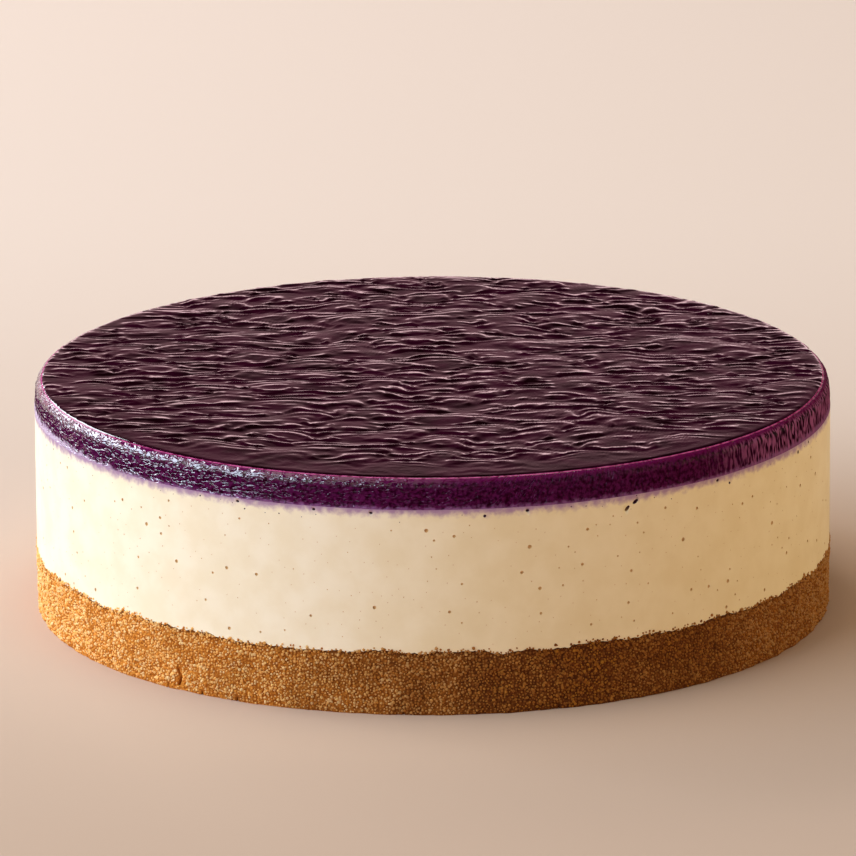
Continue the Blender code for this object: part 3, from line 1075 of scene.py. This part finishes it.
def makeStrayBand():
    # The foot of the filling's wall, where crumbs cling; its rise goes on from 1 to 2
    bm = bmesh.new()
    rise = bm.verts.layers.float.new("rise")
    bmesh.ops.create_circle(bm, segments=base["columns"], radius=cake["radius"])
    foot = list(bm.verts)
    for vertex in foot:
        vertex.co.z = crumbLine(math.atan2(vertex.co.y, vertex.co.x))
        vertex[rise] = 1.0
    top = addRing(bm, foot, lambda angle: (cake["radius"], crumbLine(angle) + crumbs["strayReach"]))
    for vertex in top:
        vertex[rise] = 2.0
    return meshObject("strayBand", bm)


def crumbShapes():
    # A few angular lumps of radius 1, from which every crumb is picked
    shapeStep = 9.1  # how far apart in the noise they are taken
    shapes = bpy.data.collections.new("crumbShapes")
    for number in range(crumbs["shapes"]):
        bm = bmesh.new()
        bmesh.ops.create_icosphere(bm, subdivisions=1, radius=1.0)
        for vertex in bm.verts:
            stray = noise.noise(vertex.co * crumbs["lumps"] + Vector((number * shapeStep, 0, 0)))
            vertex.co *= 1 + crumbs["roughness"] * stray
        mesh = bpy.data.meshes.new(f"crumbShape{number}")
        bm.to_mesh(mesh)
        bm.free()
        shapes.objects.link(bpy.data.objects.new(mesh.name, mesh))
    return shapes


def crumbFinish(name, colours):
    made, tree, shader = newFinish(name, roughness=0.85, specular=0.25)
    place = millimetres(tree)
    speck = useGroup(tree, mottle, Vector=place, Size=0.35, Detail=2.0, Low=0.3, High=0.7)
    share = plus(tree, times(tree, attribute(tree, "tone"), 1 - crumbs["speckShare"]),
                 times(tree, speck.outputs["Mask"], crumbs["speckShare"]))
    leftDark, leftLight, rightDark, rightLight = shades(colours)
    left = mixColour(tree, share, leftDark, leftLight)
    right = mixColour(tree, share, rightDark, rightLight)
    # Towards the right these mix into painted shade, paled near the end as painted light
    tree.links.new(shadedToRight(tree, place, left, right), shader.inputs["Base Color"])
    fine = useGroup(tree, wrinkle, Vector=place, Size=0.4, Detail=2.0, Sharpness=0.2)
    bump(tree, shader, fine.outputs["Height"], strength=0.6, distance=0.1 * mm)
    return made


def scatterCrumbs(core, bites):
    shapes = crumbShapes()
    band = makeStrayBand()
    tree = crumbTree()
    shareFrom = 0.0
    for name, (shareTo, smallest, largest, *colours) in crumbs["kinds"].items():
        mesh = runTree(core, tree, {
            "Spacing": crumbs["spacing"], "Smallest": smallest, "Largest": largest,
            "Share From": shareFrom, "Share To": shareTo, "Shapes": shapes, "Keep Clear": bites,
            "Clearance": crumbs["clearance"], "Stray Band": band, "Seed": crumbs["seed"],
            "Material": crumbFinish(name[:-1], colours),
        })
        ofCake(plainPiece(name, mesh))
        shareFrom = shareTo
    for helper in [band, *shapes.objects]:
        bpy.data.objects.remove(helper)
    bpy.data.collections.remove(shapes)


crack = {
    "angle": -38.45,           # degrees from the front towards +X
    "foot": 1.2 * mm,
    "height": 5.0 * mm,
    "width": 1.1 * mm,
    "depth": 2.4 * mm,
    "jog": 0.8 * mm,
    "jogAt": 0.45,             # share of the way up
    "taper": 0.5,              # how much narrower it is at the top
    # Crumbs broken out of the foot: degrees from the front, width and height
    "notches": ((-40.2, 0.9 * mm, 1.3 * mm), (-34.2, 1.1 * mm, 1.2 * mm), (-28.4, 0.8 * mm, 1.5 * mm),
                (-4.2, 0.9 * mm, 1.0 * mm), (17.5, 0.8 * mm, 1.1 * mm), (121.0, 1.2 * mm, 1.3 * mm),
                (196.0, 0.9 * mm, 1.5 * mm)),
    "notchDepth": 1.0 * mm,
    "notchBelow": 0.5 * mm,
    "notchTop": ((-1 / 3, 0.7), (1 / 8, 1.0)),  # its two upper corners, in shares of width and height
}


def wedge(bm, outline, depth, degrees):
    # A flat outline, of points across the wall and up it, pushed through the wall from this depth
    inner = cake["radius"] - base["inset"] - depth
    near = [bm.verts.new((across, -inner, height)) for across, height in outline]
    far = [bm.verts.new((across, -inner - 3 * depth, height)) for across, height in outline]
    bm.faces.new(near)
    bm.faces.new(far[::-1])
    for side in range(len(outline)):
        bm.faces.new((near[side - 1], near[side], far[side], far[side - 1]))
    bmesh.ops.rotate(bm, verts=near + far, matrix=Matrix.Rotation(math.radians(degrees), 3, "Z"))


def makeBites():
    # The cutter for the crack and for the notches in the foot
    bm = bmesh.new()
    left, right = [], []
    for across, rise in ((0.0, 0.0), (crack["jog"], crack["jogAt"]), (0.0, 1.0)):
        halfWidth = crack["width"] / 2 * (1 - crack["taper"] * rise)
        height = crack["foot"] + rise * crack["height"]
        left.append((across - halfWidth, height))
        right.append((across + halfWidth, height))
    wedge(bm, left + right[::-1], crack["depth"], crack["angle"])
    below = -crack["notchBelow"]
    for degrees, width, height in crack["notches"]:
        top = [(across * width, rise * height) for across, rise in crack["notchTop"]]
        wedge(bm, [(-width / 2, below), *top, (width / 2, below)], crack["notchDepth"], degrees)
    return meshObject("bites", bm)


makeJelly(jellyFinish())
makeFilling(creamFinish())
bites = makeBites()
core = makeCore(coreFinish(), bites)
scatterCrumbs(core, bites)
bpy.data.objects.remove(bites)
